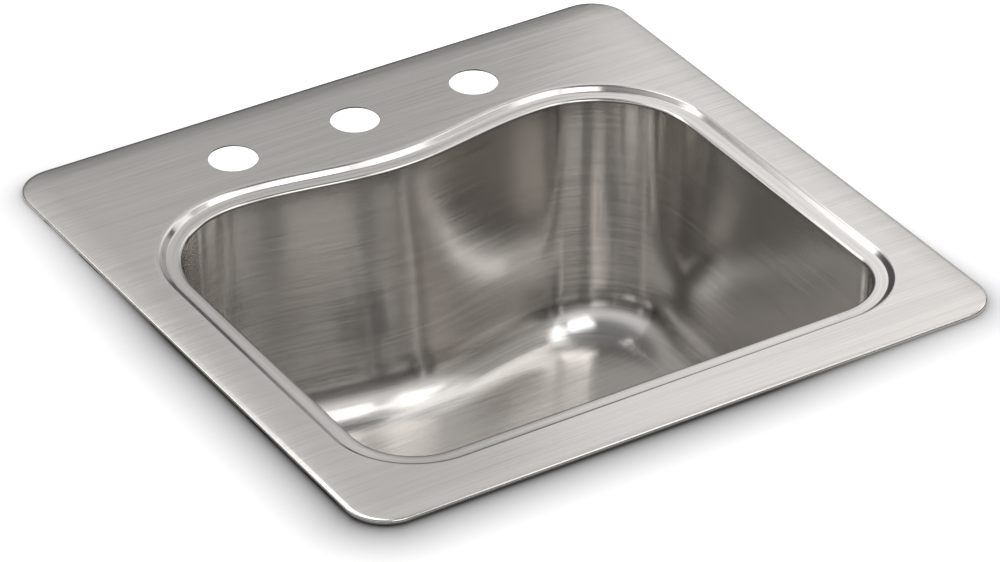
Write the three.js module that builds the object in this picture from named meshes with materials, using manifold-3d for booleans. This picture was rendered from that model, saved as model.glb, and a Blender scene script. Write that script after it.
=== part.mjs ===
// Single-bowl, top-mount stainless steel sink with its drain and its fixing clips.
//
// Millimetres, +Z up. The origin is the centre of the rim, on the plane where the rim's edge
// rests on the worktop. +Y points to the tap holes, +X to the right of a person at the sink.

import * as THREE from 'three';
import { LoftGeometry } from 'three/addons/geometries/LoftGeometry.js';
import { mergeVertices } from 'three/addons/utils/BufferGeometryUtils.js';
import Module from 'manifold-3d';

const wasm = await Module();
wasm.setup();

// ---------------------------------------------------------------- driving dimensions

const GAP = 0.3; // left between two pieces that touch

const SHEET = 1.2; // 18 gauge stainless sheet
const RIM_HALF = 254; // 20 in square rim
const RIM_CORNER_R = 30;
const RIM_EDGE = { straight: 2, inset: 1.4, top: 3.3 }; // the turned-down edge and its shoulder
const DECK_Z = 4; // deck's top above the worktop
const RIM_SLOPE = 22; // width of the gently falling band at the rim

const BOWL = { halfX: 205.5, front: -198, back: 142, dip: 15.5, frontR: 48, backR: 78 };
const STEP_SPREAD = 13; // top of the step, outside the bowl's edge
const LEDGE_SPREAD = 9.5;
const LEDGE_Z = 0.4;
const EDGE_R = 2; // rounding at the bowl's edge
const WALL_FOOT_Z = -156;
const WALL_DRAFT = 6; // how far the walls lean in by their foot
const COVE_R = 40;
const FLOOR_FALL = 3; // fall of the floor towards the drain

const TAP_HOLE_R = 18.25;
const TAP_HOLE_Y = 195.5;
const TAP_PITCH = 101.6;

const DRAIN_Y = -28;
const DRAIN_R = 44.5; // 3 1/2 in drain opening
const DRAIN_SEAT_R = 59;
const DRAIN_SEAT_DEPTH = 4;

const RAIL = { centre: 235, half: 7, height: 8.5, wall: 1, mouth: 3.2, length: 380 };
const CLIP_AT = 165; // clips' distance either side of the middle of a rail
const CLIP_WIDTH = 14;
const BRACKET = { blade: -8, thick: 1.8, head: 2, shoulder: -9.6, foot: -47, footReach: 8.1 };
const CLEAT = { top: -28, tooth: 3, thick: 2, reach: 17.5 };
const SCREW = { radius: 3.1, headTop: -66, headHeight: 5, headR: 6, slot: 1.4 };

const FLANGE = { radius: 57, edge: 1, thick: 2.4, slope: 3 };
const CUP = { radius: 42.6, inner: 40.2, depth: 46, thick: 2 };
const OUTLET = { radius: 23.5, inner: 20.2, end: 76 }; // `end` below the flange
const SEALING_WASHER = { outer: 57, thick: 3 };
const FRICTION_RING = { outer: 56, thick: 1.5 };
const LOCKNUT = { outer: 50, lug: 56, lugs: 8, lugFrom: 0.65, lugTo: 0.95, height: 10 };
const TAILPIECE_WASHER = { inner: 19.5, outer: 23.2, thick: 2 };
const COUPLING_NUT = { clearance: 0.4, wall: 3.7, lip: 2, cover: 12 };
const TAILPIECE = { radius: 19.1, inner: 17.7, length: 118, flangeR: 22.8, flangeThick: 1.5 };
const BASKET = { radius: 36, wall: 1, corner: 3, rim: 39.4, lift: 5, depth: 8 };
const STOPPER = { foot: 24, radius: 27, top: 26 };
const POST = { foot: 7, stem: 3, knob: 8, knobHeight: 9, top: 4 };

const PAD = { thick: 3, wall: [0.2, 0.85], floor: [0.15, 0.8] }; // shares of the wall and floor

// ---------------------------------------------------------------- materials

function steel(colour, roughness) {
  return new THREE.MeshStandardMaterial({ color: colour, roughness, metalness: 1 });
}

const BRUSHED = steel(0xb9b7b2, 0.32);
const ZINC = steel(0xb4b8bd, 0.4);
const POLISHED = steel(0xd2d3d4, 0.14);
const BRASS = steel(0xb8a06a, 0.35);
const RUBBER = new THREE.MeshStandardMaterial({ color: 0x1d1d1e, roughness: 0.85, metalness: 0 });
const FIBRE = new THREE.MeshStandardMaterial({ color: 0x9a8a6c, roughness: 0.95, metalness: 0 });
const NYLON = new THREE.MeshStandardMaterial({ color: 0xe9e7df, roughness: 0.5, metalness: 0 });
const BUTYL = new THREE.MeshStandardMaterial({ color: 0x3a3b3d, roughness: 0.9, metalness: 0 });

// ---------------------------------------------------------------- solids

function solidOf(geometry) {
  const bare = geometry.index ? geometry.toNonIndexed() : geometry.clone();
  bare.deleteAttribute('normal');
  bare.deleteAttribute('uv');
  const merged = mergeVertices(bare, 1e-4);
  return new wasm.Manifold(new wasm.Mesh({
    numProp: 3,
    vertProperties: new Float32Array(merged.attributes.position.array),
    triVerts: new Uint32Array(merged.index.array),
  }));
}

function geometryOf(solid) {
  const mesh = solid.getMesh();
  const geometry = new THREE.BufferGeometry();
  geometry.setAttribute('position', new THREE.BufferAttribute(mesh.vertProperties, 3));
  geometry.setIndex(new THREE.BufferAttribute(mesh.triVerts, 1));
  return geometry;
}

function cut(geometry, tools) {
  return geometryOf(tools.reduce((solid, tool) => solid.subtract(solidOf(tool)), solidOf(geometry)));
}

function uprightCylinder(radius, bottom, top, sides) {
  const geometry = new THREE.CylinderGeometry(radius, radius, top - bottom, sides);
  geometry.rotateX(Math.PI / 2);
  return geometry.translate(0, 0, (top + bottom) / 2);
}

// A turned piece: profile points are [radius, height], in order round the section.
function turned(profile, sides, closed = true) {
  const points = profile.map(([radius, height]) => new THREE.Vector2(radius, height));
  if (closed) points.push(points[0].clone());
  return new THREE.LatheGeometry(points, sides).rotateX(Math.PI / 2);
}

const ALONG = new THREE.Vector3(1, 0, 0);
const ACROSS = new THREE.Vector3(0, 1, 0);
const UP = new THREE.Vector3(0, 0, 1);

// A bar along X whose section is [across, height], across being Y; X = 0 is its middle.
function bar(section, length) {
  const shape = new THREE.Shape(section.map(([across, height]) => new THREE.Vector2(across, height)));
  const geometry = new THREE.ExtrudeGeometry(shape, { depth: length, bevelEnabled: false });
  geometry.translate(0, 0, -length / 2);
  return geometry.applyMatrix4(new THREE.Matrix4().makeBasis(ACROSS, UP, ALONG));
}

// ---------------------------------------------------------------- the sink's outlines

// Points along each stretch of an outline, so that every outline has the same number.
const STEPS = { straight: 5, corner: 6, wave: 18 };

function arc(centreX, centreY, radius, startDegrees) {
  return Array.from({ length: STEPS.corner }, (_, i) => {
    const angle = THREE.MathUtils.degToRad(startDegrees + (90 * i) / STEPS.corner);
    return new THREE.Vector2(centreX + radius * Math.cos(angle), centreY + radius * Math.sin(angle));
  });
}

function line(x0, y0, x1, y1) {
  return Array.from({ length: STEPS.straight }, (_, i) => new THREE.Vector2(
    THREE.MathUtils.lerp(x0, x1, i / STEPS.straight),
    THREE.MathUtils.lerp(y0, y1, i / STEPS.straight),
  ));
}

// The back stretch, from right to left: one wave that dips inwards by `dip` at its middle.
function wave(halfLength, y, dip) {
  return Array.from({ length: STEPS.wave }, (_, i) => {
    const x = halfLength * (1 - (2 * i) / STEPS.wave);
    return new THREE.Vector2(x, y - (dip * (1 + Math.cos((Math.PI * x) / halfLength))) / 2);
  });
}

// A four-sided outline, anticlockwise from the front-right corner.
function outline({ halfX, front, back, dip, frontR, backR }) {
  return [
    ...arc(halfX - frontR, front + frontR, frontR, -90),
    ...line(halfX, front + frontR, halfX, back - backR),
    ...arc(halfX - backR, back - backR, backR, 0),
    ...wave(halfX - backR, back, dip),
    ...arc(-halfX + backR, back - backR, backR, 90),
    ...line(-halfX, back - backR, -halfX, front + frontR),
    ...arc(-halfX + frontR, front + frontR, frontR, 180),
    ...line(-halfX + frontR, front, halfX - frontR, front),
  ];
}

function rimOutline(inset) {
  const half = RIM_HALF - inset;
  const radius = Math.max(RIM_CORNER_R - inset, 10);
  return outline({ halfX: half, front: -half, back: half, dip: 0, frontR: radius, backR: radius });
}

// The bowl's edge, grown by `spread`; inwards, its corners keep about half their radius.
function bowlOutline(spread) {
  const turn = spread > 0 ? spread : spread * 0.55;
  return outline({
    halfX: BOWL.halfX + spread,
    front: BOWL.front - spread,
    back: BOWL.back + spread,
    dip: BOWL.dip,
    frontR: BOWL.frontR + turn,
    backR: BOWL.backR + turn,
  });
}

function drainOutline(radius) {
  return bowlOutline(-WALL_DRAFT - COVE_R).map((point) => {
    const angle = Math.atan2(point.y - DRAIN_Y, point.x);
    return new THREE.Vector2(radius * Math.cos(angle), DRAIN_Y + radius * Math.sin(angle));
  });
}

function atHeight(points, z) {
  return points.map((point) => new THREE.Vector3(point.x, point.y, z));
}

// ---------------------------------------------------------------- sink shell

const SEAT_Z = WALL_FOOT_Z - COVE_R - FLOOR_FALL - DRAIN_SEAT_DEPTH; // top of the drain's seat

// The wall's ring at a share of its height, from the bowl's edge down to the cove.
function wallRing(fraction) {
  const z = THREE.MathUtils.lerp(LEDGE_Z - EDGE_R, WALL_FOOT_Z, fraction);
  return atHeight(bowlOutline(-WALL_DRAFT * fraction), z);
}

// The cove's ring, from 0 degrees at the wall to 90 at the floor.
function coveRing(degrees) {
  const angle = THREE.MathUtils.degToRad(degrees);
  const inset = WALL_DRAFT + COVE_R * (1 - Math.cos(angle));
  return atHeight(bowlOutline(-inset), WALL_FOOT_Z - COVE_R * Math.sin(angle));
}

// Top surface of the sink, ring by ring, from the rim's edge to the edge of the drain opening.
function topRings() {
  const floorZ = SEAT_Z + DRAIN_SEAT_DEPTH;
  return [
    atHeight(rimOutline(0), 0),
    atHeight(rimOutline(0), RIM_EDGE.straight),
    atHeight(rimOutline(RIM_EDGE.inset), RIM_EDGE.top),
    atHeight(rimOutline(RIM_SLOPE), DECK_Z),
    atHeight(bowlOutline(STEP_SPREAD), DECK_Z),
    atHeight(bowlOutline(LEDGE_SPREAD), LEDGE_Z),
    atHeight(bowlOutline(EDGE_R), LEDGE_Z),
    atHeight(bowlOutline(EDGE_R * 0.3), LEDGE_Z - EDGE_R * 0.3),
    wallRing(0),
    wallRing(0.5),
    wallRing(1),
    coveRing(22.5),
    coveRing(45),
    coveRing(67.5),
    coveRing(90),
    atHeight(drainOutline(DRAIN_SEAT_R + DRAIN_SEAT_DEPTH), floorZ),
    atHeight(drainOutline(DRAIN_SEAT_R), SEAT_Z),
    atHeight(drainOutline(DRAIN_R), SEAT_Z),
  ];
}

// The same rings moved by `distance` along the surface's inward normal, under the sheet.
function offsetRings(rings, distance) {
  return rings.map((points, i) => {
    const outer = rings[Math.max(i - 1, 0)];
    const inner = rings[Math.min(i + 1, rings.length - 1)];
    return points.map((point, j) => {
      const count = points.length;
      const along = points[(j + 1) % count].clone().sub(points[(j + count - 1) % count]).normalize();
      const before = point.clone().sub(outer[j]);
      const after = inner[j].clone().sub(point);
      const normals = [before, after].filter((step) => step.length() > 1e-6)
        .map((step) => step.clone().cross(along).normalize());
      const normal = normals.reduce((sum, each) => sum.add(each), new THREE.Vector3()).normalize();
      const stretch = 1 / Math.max(normal.dot(normals[0]), 0.6);
      return point.clone().addScaledVector(normal, distance * stretch);
    });
  });
}

const TOP_RINGS = topRings();

function sinkShell() {
  const under = offsetRings(TOP_RINGS, SHEET);
  const sections = [...TOP_RINGS, ...under.reverse(), TOP_RINGS[0]];
  const shell = new LoftGeometry(sections, { closed: true });
  const holes = [-1, 0, 1].map((step) => uprightCylinder(TAP_HOLE_R, -DECK_Z, 2 * DECK_Z, 32)
    .translate(step * TAP_PITCH, TAP_HOLE_Y, 0));
  return cut(shell, holes);
}

// ---------------------------------------------------------------- sound pads

// A rubber pad glued under the sheet: the patch between two columns of the given rings.
function pad(rings, firstColumn, lastColumn, gap) {
  const against = offsetRings(rings, SHEET + gap);
  const outside = offsetRings(rings, SHEET + gap + PAD.thick);
  const section = [...outside, ...against.reverse()];
  const sections = [];
  for (let column = firstColumn; column <= lastColumn; column += 1) {
    const at = column % rings[0].length;
    sections.push(section.map((points) => points[at]));
  }
  return new LoftGeometry(sections, { closed: true, capStart: true, capEnd: true });
}

function floorRing(fraction) {
  const drain = atHeight(drainOutline(DRAIN_SEAT_R + DRAIN_SEAT_DEPTH), SEAT_Z + DRAIN_SEAT_DEPTH);
  return coveRing(90).map((point, i) => point.lerp(drain[i], fraction));
}

// First column of each side's straight stretch in an outline, in the outline's own order.
const COLUMNS = {
  right: STEPS.corner,
  back: 2 * STEPS.corner + STEPS.straight,
  left: 3 * STEPS.corner + STEPS.straight + STEPS.wave,
  front: 4 * STEPS.corner + 2 * STEPS.straight + STEPS.wave,
};

function padGeometries() {
  const wall = PAD.wall.map(wallRing);
  const floor = PAD.floor.map(floorRing);
  const { straight, wave: waveSteps } = STEPS;
  return {
    pad_right_wall: pad(wall, COLUMNS.right, COLUMNS.right + straight, GAP),
    pad_back_wall: pad(wall, COLUMNS.back + 2, COLUMNS.back + waveSteps - 2, GAP),
    pad_left_wall: pad(wall, COLUMNS.left, COLUMNS.left + straight, GAP),
    pad_front_wall: pad(wall, COLUMNS.front, COLUMNS.front + straight, GAP),
    pad_floor_right: pad(floor, COLUMNS.right, COLUMNS.right + straight, 3 * GAP),
    pad_floor_left: pad(floor, COLUMNS.left, COLUMNS.left + straight, 3 * GAP),
  };
}

// ---------------------------------------------------------------- rails and clips

const DECK_FALL = 0.4; // the falling band's drop over the rail's outer edge
const RAIL_TOP = DECK_Z - SHEET - DECK_FALL - GAP;

// A channel with its mouth down and its two lips turned in, spot welded under the deck.
function railGeometry() {
  const { half, height, wall, mouth } = RAIL;
  const side = [
    [half, 0], [half, -height], [mouth, -height], [mouth, wall - height],
    [half - wall, wall - height], [half - wall, -wall],
  ];
  const mirrored = side.map(([across, z]) => [-across, z]).reverse();
  return bar([...side, ...mirrored], RAIL.length).translate(0, 0, RAIL_TOP);
}

// A clip's bracket: T-shaped head in the rail, a blade that hangs down, and a threaded foot.
function bracketGeometry() {
  const lipTop = RAIL_TOP - RAIL.height + RAIL.wall;
  const headHalf = RAIL.half - RAIL.wall - 2 * GAP;
  const headBottom = lipTop + GAP;
  const headTop = headBottom + BRACKET.head;
  const neck = RAIL.mouth - 2 * GAP;
  const { blade, thick, shoulder, foot, footReach } = BRACKET;
  const inner = blade + thick;
  const section = [
    [headHalf, headTop], [-headHalf, headTop], [-headHalf, headBottom], [-neck, headBottom],
    [-neck, shoulder + thick], [blade, shoulder + thick], [blade, foot], [footReach, foot],
    [footReach, foot + thick], [inner, foot + thick], [inner, shoulder], [neck, shoulder],
    [neck, headBottom], [headHalf, headBottom],
  ];
  const hole = uprightCylinder(SCREW.radius + GAP, foot - 5, foot + 5, 16);
  return cut(bar(section, CLIP_WIDTH), [hole]);
}

// The jaw at the screw's tip: a plate guided by the blade, its outer end turned up to bite.
function cleatGeometry() {
  const { top, tooth, thick, reach } = CLEAT;
  const back = BRACKET.blade + BRACKET.thick + GAP;
  const plateTop = top - tooth;
  return bar([
    [back, plateTop - thick], [reach, plateTop - thick], [reach, top], [reach - thick, top],
    [reach - thick, plateTop], [back, plateTop],
  ], CLIP_WIDTH);
}

// A screw with a slotted hexagon head, its tip under the jaw.
function screwGeometry() {
  const { radius, headTop, headHeight, headR, slot } = SCREW;
  const tip = CLEAT.top - CLEAT.tooth - CLEAT.thick - GAP;
  const headBottom = headTop - headHeight;
  const shank = solidOf(uprightCylinder(radius, headTop - 1, tip, 16));
  const head = solidOf(uprightCylinder(headR, headBottom, headTop, 6));
  const groove = new THREE.BoxGeometry(4 * headR, slot, 2 * slot).translate(0, 0, headBottom);
  return geometryOf(shank.add(head).subtract(solidOf(groove)));
}

// ---------------------------------------------------------------- drain

const FLANGE_Z = SEAT_Z + GAP; // underside of the strainer's flange
const CUP_FLOOR = FLANGE_Z - CUP.depth;
const OUTLET_END = FLANGE_Z - OUTLET.end;
const NUT_INNER = CUP.radius + 0.4; // hole of everything that slides up the strainer's thread

// Heights of what is stacked under the seat, then of what is stacked under the outlet.
const SEALING_TOP = SEAT_Z - SHEET - GAP;
const FRICTION_TOP = SEALING_TOP - SEALING_WASHER.thick - GAP;
const LOCKNUT_TOP = FRICTION_TOP - FRICTION_RING.thick - GAP;
const WASHER_TOP = OUTLET_END - GAP;
const TAILPIECE_TOP = WASHER_TOP - TAILPIECE_WASHER.thick - GAP;
const LIP_TOP = TAILPIECE_TOP - TAILPIECE.flangeThick - GAP;

function strainerBody() {
  const { radius, edge, thick, slope } = FLANGE;
  const flangeTop = FLANGE_Z + thick;
  const underside = CUP_FLOOR - CUP.thick;
  return turned([
    [CUP.radius, FLANGE_Z], [radius, FLANGE_Z], [radius, FLANGE_Z + edge],
    [radius - slope, flangeTop], [CUP.radius + 2, flangeTop], [CUP.inner, FLANGE_Z - 1],
    [CUP.inner, CUP_FLOOR], [OUTLET.inner, CUP_FLOOR], [OUTLET.inner, OUTLET_END],
    [OUTLET.radius, OUTLET_END], [OUTLET.radius, underside], [CUP.radius, underside],
  ], 32);
}

function washer({ inner = NUT_INNER, outer, thick }, top) {
  return turned([[inner, top - thick], [outer, top - thick], [outer, top], [inner, top]], 32);
}

// The big nut under the bowl, with lugs for a spanner. Each lug fills a share of its pitch.
function locknut() {
  const { outer, lug, lugs, lugFrom, lugTo, height } = LOCKNUT;
  const pitch = (2 * Math.PI) / lugs;
  const shape = new THREE.Shape();
  for (let i = 0; i < lugs; i += 1) {
    const start = pitch * i;
    const from = start + pitch * lugFrom;
    const to = start + pitch * lugTo;
    shape.absarc(0, 0, outer, start, from, false);
    shape.lineTo(lug * Math.cos(from), lug * Math.sin(from));
    shape.lineTo(lug * Math.cos(to), lug * Math.sin(to));
    shape.lineTo(outer * Math.cos(to), outer * Math.sin(to));
  }
  const bottom = LOCKNUT_TOP - height;
  const geometry = new THREE.ExtrudeGeometry(shape, {
    depth: height, bevelEnabled: false, curveSegments: 4,
  });
  geometry.translate(0, 0, bottom);
  return cut(geometry, [uprightCylinder(NUT_INNER, bottom - 1, LOCKNUT_TOP + 1, 32)]);
}

// The nut that pulls the tailpiece's flange and its washer up against the outlet's end.
function couplingNut() {
  const { clearance, wall, lip, cover } = COUPLING_NUT;
  const inner = OUTLET.radius + clearance;
  const outer = inner + wall;
  const throat = TAILPIECE.radius + clearance;
  return turned([
    [throat, LIP_TOP - lip], [outer, LIP_TOP - lip], [outer, OUTLET_END + cover],
    [inner, OUTLET_END + cover], [inner, LIP_TOP], [throat, LIP_TOP],
  ], 24);
}

function tailpiece() {
  const { radius, inner, length, flangeR, flangeThick } = TAILPIECE;
  const top = TAILPIECE_TOP;
  return turned([
    [inner, top - length], [radius, top - length], [radius, top - flangeThick],
    [flangeR, top - flangeThick], [flangeR, top], [inner, top],
  ], 32);
}

// ---------------------------------------------------------------- basket

const BASKET_FLOOR = CUP_FLOOR + BASKET.lift; // underside of the basket

function basketCup() {
  const { radius, wall, corner, rim, depth } = BASKET;
  const floor = BASKET_FLOOR;
  const top = FLANGE_Z - depth;
  const innerCorner = corner + 0.4;
  return turned([
    [0, floor], [radius - corner, floor], [radius, floor + corner], [radius, top - wall],
    [rim, top - wall], [rim, top], [radius - wall, top], [radius - wall, floor + innerCorner],
    [radius - innerCorner, floor + wall], [0, floor + wall],
  ], 32, false);
}

// The rubber disc under the basket that closes the outlet.
function basketStopper() {
  const { foot, radius, top: topRadius } = STOPPER;
  const bottom = CUP_FLOOR + GAP;
  const top = BASKET_FLOOR - GAP;
  return turned([
    [0, bottom], [foot, bottom], [radius, bottom + 1.2], [radius, top - 1], [topRadius, top], [0, top],
  ], 24, false);
}

// The post that the basket is lifted by, with its round knob.
function basketPost() {
  const { foot, stem, knob, knobHeight } = POST;
  const bottom = BASKET_FLOOR + BASKET.wall + GAP;
  const top = FLANGE_Z - POST.top;
  return turned([
    [0, bottom], [foot, bottom], [foot, bottom + 1.5], [stem, bottom + 2.5], [stem, top - knobHeight],
    [knob - 1.5, top - 0.7 * knobHeight], [knob, top - knobHeight / 3], [knob - 1.5, top - 0.6],
    [knob / 2, top], [0, top],
  ], 16, false);
}

// ---------------------------------------------------------------- assembly

const group = new THREE.Group();

function add(parent, name, geometry, material) {
  const mesh = new THREE.Mesh(geometry, material.clone());
  mesh.name = name;
  parent.add(mesh);
  return mesh;
}

add(group, 'sink_shell', sinkShell(), BRUSHED);

Object.entries(padGeometries()).forEach(([name, geometry]) => add(group, name, geometry, BUTYL));

const railShape = railGeometry();
const bracketShape = bracketGeometry();
const cleatShape = cleatGeometry();
const screwShape = screwGeometry();

// Each side's group has its Y pointing out of the sink; its two clips are named by their place.
const SIDES = [
  { side: 'back', turn: 0, low: 'left', high: 'right' },
  { side: 'left', turn: 90, low: 'front', high: 'back' },
  { side: 'front', turn: 180, low: 'right', high: 'left' },
  { side: 'right', turn: 270, low: 'back', high: 'front' },
];

SIDES.forEach(({ side, turn, low, high }) => {
  const sideGroup = new THREE.Group();
  sideGroup.rotation.z = THREE.MathUtils.degToRad(turn);
  const line = new THREE.Group();
  line.position.y = RAIL.centre;
  sideGroup.add(line);
  add(line, `${side}_rail`, railShape, BRUSHED);
  [[low, -CLIP_AT], [high, CLIP_AT]].forEach(([place, along]) => {
    const clip = new THREE.Group();
    clip.position.x = along;
    line.add(clip);
    add(clip, `${side}_${place}_clip`, bracketShape, ZINC);
    add(clip, `${side}_${place}_cleat`, cleatShape, ZINC);
    add(clip, `${side}_${place}_screw`, screwShape, ZINC);
  });
  group.add(sideGroup);
});

const drain = new THREE.Group();
drain.position.y = DRAIN_Y;
group.add(drain);

add(drain, 'strainer_body', strainerBody(), POLISHED);
add(drain, 'sealing_washer', washer(SEALING_WASHER, SEALING_TOP), RUBBER);
add(drain, 'friction_ring', washer(FRICTION_RING, FRICTION_TOP), FIBRE);
add(drain, 'locknut', locknut(), BRASS);
add(drain, 'tailpiece_washer', washer(TAILPIECE_WASHER, WASHER_TOP), NYLON);
add(drain, 'coupling_nut', couplingNut(), BRASS);
add(drain, 'tailpiece', tailpiece(), POLISHED);
add(drain, 'basket_cup', basketCup(), POLISHED);
add(drain, 'basket_stopper', basketStopper(), RUBBER);
add(drain, 'basket_post', basketPost(), POLISHED);

export default group;
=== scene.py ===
"""A square top-mount stainless steel sink with its drain, rails and fixing clips, in metres.

+Z is up, +Y points to the tap holes, and z = 0 is the plane where the rim rests on the worktop.
"""

import bpy
import numpy as np
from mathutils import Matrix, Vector


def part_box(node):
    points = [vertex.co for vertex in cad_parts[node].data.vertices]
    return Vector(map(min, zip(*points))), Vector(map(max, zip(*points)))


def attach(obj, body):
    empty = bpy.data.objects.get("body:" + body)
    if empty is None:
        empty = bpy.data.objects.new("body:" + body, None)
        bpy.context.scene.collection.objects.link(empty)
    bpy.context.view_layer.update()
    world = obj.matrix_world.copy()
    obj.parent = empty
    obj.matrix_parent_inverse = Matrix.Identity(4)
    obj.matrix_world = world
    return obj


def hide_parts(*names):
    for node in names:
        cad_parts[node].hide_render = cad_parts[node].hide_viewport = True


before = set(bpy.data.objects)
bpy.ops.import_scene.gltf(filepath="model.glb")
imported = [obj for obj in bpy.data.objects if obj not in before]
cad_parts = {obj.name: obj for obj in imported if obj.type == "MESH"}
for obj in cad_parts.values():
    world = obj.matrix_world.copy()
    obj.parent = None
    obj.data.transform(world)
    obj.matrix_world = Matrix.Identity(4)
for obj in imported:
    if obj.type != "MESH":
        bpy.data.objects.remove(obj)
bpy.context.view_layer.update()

# ---------------------------------------------------------------- sink shell
# One sheet of 18 gauge stainless steel, drawn into the bowl with a stepped ledge round its mouth,
# then trimmed, its rim turned down, and punched with three tap holes and the drain opening.
# The deck is brushed from side to side, the bowl's walls along their length.

mm = 0.001
sheet = 1.2 * mm
rim_half = 254 * mm
rim_corner = 30 * mm
deck_z = 4 * mm
band_width = 22 * mm
bowl_half = 205.5 * mm
bowl_front = -198 * mm
bowl_back = 142 * mm
back_dip = 15.5 * mm
front_corner = 48 * mm
back_corner = 78 * mm
step_out = 16.2 * mm
step_in = 10.6 * mm
ledge_middle = 6.5 * mm
ledge_z = 0.4 * mm
edge_r = 2.6 * mm
wall_top_z = ledge_z - edge_r
wall_foot_z = -156 * mm
wall_draft = 6 * mm
cove = 40 * mm
floor_fall = 3 * mm
seat_depth = 4 * mm
seat_r = 59 * mm
seat_middle_r = 52 * mm
drain_r = 44.5 * mm
drain_y = -28 * mm
tap_r = 18.25 * mm
tap_y = 195.5 * mm
tap_pitch = 101.6 * mm
seat_z = wall_foot_z - cove - floor_fall - seat_depth
corner_steps, side_steps, front_steps, back_steps = 20, 34, 34, 150


def arc(centre, radius, start, end, steps, last=False):
    """Points of a round stretch: the centre plus the radius along each angle, start to end."""
    angle = np.radians(np.linspace(start, end, steps, endpoint=last))
    return centre[0] + radius * np.cos(angle), centre[1] + radius * np.sin(angle)


def outline(half, front, back, dip, front_r, back_r):
    """Rounded squares, anticlockwise from the front right corner, one row for each size given.

    Corners are quarter circles and sides are straight. The back side is one cosine wave, whose
    middle lies `dip` further in than its ends.
    """
    sizes = (half, front, back, dip, front_r, back_r)
    sizes = [np.asarray(size, float).reshape(-1, 1) for size in sizes]
    half, front, back, dip, front_r, back_r = np.broadcast_arrays(*sizes)
    side = np.linspace(0, 1, side_steps, endpoint=False)
    wave_x = (half - back_r) * (1 - 2 * np.linspace(0, 1, back_steps, endpoint=False))
    wave_y = back - dip * (1 + np.cos(np.pi * wave_x / (half - back_r))) / 2
    side_length = back - back_r - front - front_r
    front_x = (half - front_r) * (2 * np.linspace(0, 1, front_steps, endpoint=False) - 1)
    stretches = [
        arc((half - front_r, front + front_r), front_r, -90, 0, corner_steps),
        (half + 0 * side, front + front_r + side_length * side),
        arc((half - back_r, back - back_r), back_r, 0, 90, corner_steps),
        (wave_x, wave_y),
        arc((back_r - half, back - back_r), back_r, 90, 180, corner_steps),
        (-half + 0 * side, back - back_r - side_length * side),
        arc((front_r - half, front + front_r), front_r, 180, 270, corner_steps),
        (front_x, front + 0 * front_x),
    ]
    return np.stack([np.concatenate(axis, axis=1) for axis in zip(*stretches)], axis=2)


def rim_outline(inset):
    """The rim's square, drawn in by `inset`."""
    inset = np.asarray(inset, float)
    corner = np.maximum(rim_corner - inset, 10 * mm)
    return outline(rim_half - inset, inset - rim_half, rim_half - inset, 0, corner, corner)


def bowl_outline(spread):
    """The bowl's edge, grown by `spread`. Inwards, a corner's radius shrinks by 0.55 of that."""
    spread = np.asarray(spread, float)
    turn = np.where(spread > 0, spread, 0.55 * spread)
    return outline(bowl_half + spread, bowl_front - spread, bowl_back + spread, back_dip,
                   front_corner + turn, back_corner + turn)


def drain_outline(radius):
    """Circles round the drain, each point on the line from the drain to the floor's own outline."""
    floor = bowl_outline(-wall_draft - cove)[0]
    angle = np.arctan2(floor[:, 1] - drain_y, floor[:, 0])
    radius = np.asarray(radius, float).reshape(-1, 1)
    return np.stack([radius * np.cos(angle), drain_y + radius * np.sin(angle)], axis=2)


def ring(points, z):
    """Rows of outline points with a height for each row."""
    height = np.broadcast_to(np.asarray(z, float).reshape(-1, 1, 1), points.shape[:2] + (1,))
    return np.concatenate([points, height], axis=2)


def between(first, last, shares):
    """Rows that run straight from one row to another, at the given shares of the way."""
    shares = np.asarray(shares).reshape(-1, 1, 1)
    return first + (last - first) * shares


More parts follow.
